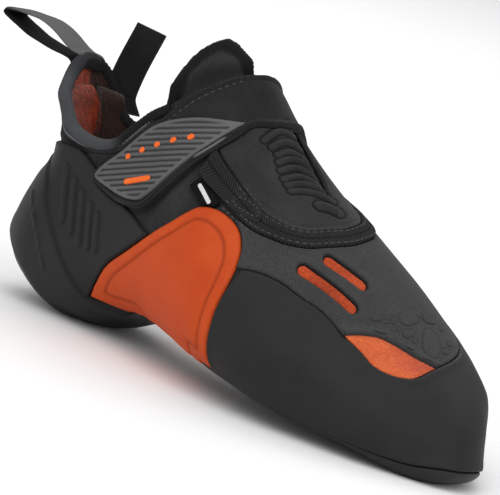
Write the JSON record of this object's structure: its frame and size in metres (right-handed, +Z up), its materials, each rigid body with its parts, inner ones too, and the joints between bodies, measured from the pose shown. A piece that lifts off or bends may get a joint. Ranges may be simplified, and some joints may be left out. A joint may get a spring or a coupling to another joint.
{
  "type": "climbing shoe",
  "caption": "Right climbing shoe with a hollow upper, wide wrap strap, moulded rubber heel and arch panels, rubber rand and toe, pebbled toe patch and pull loops.",
  "frame": {"origin": "centre of the heel's flat spot on the floor", "axes": "+X to the toe, +Y to the inner side of the foot, +Z up"},
  "size_m": [0.2751, 0.0878, 0.1152],
  "materials": {
    "upper": "dark synthetic leather, matt",
    "insole": "brushed lining cloth",
    "outsole": "climbing rubber, satin",
    "rand": "climbing rubber, matt",
    "heel_cup": "moulded rubber, matt",
    "arch_panel": "moulded rubber, matt",
    "vamp": "brushed synthetic leather",
    "toe_patch": "pebbled rubber",
    "mesh": "open mesh",
    "instep_panel": "soft suede",
    "seam_tape": "woven tape",
    "strap": "suede",
    "strap_patch": "ribbed film",
    "tongue": "padded knit",
    "collar_binding": "folded binding",
    "label_flag": "woven label",
    "heel_pull_loop": "webbing",
    "side_pull_loop": "webbing"
  },
  "bodies": {
    "root": {"upper": "upper", "insole": "insole", "outsole": "outsole", "rand": "rand", "heel_cup": "heel_cup", "arch_panel_outer": "arch_panel", "arch_panel_inner": "arch_panel", "vamp": "vamp", "toe_patch": "toe_patch", "toe_crescent": "mesh", "vent_low": "mesh", "vent_high": "mesh", "instep_panel": "instep_panel", "seam_tape": "seam_tape", "strap": "strap", "strap_patch": "strap_patch", "tongue": "tongue", "collar_binding": "collar_binding", "label_flag": "label_flag", "heel_pull_loop": "heel_pull_loop", "side_pull_loop": "side_pull_loop"}
  },
  "joints": []
}
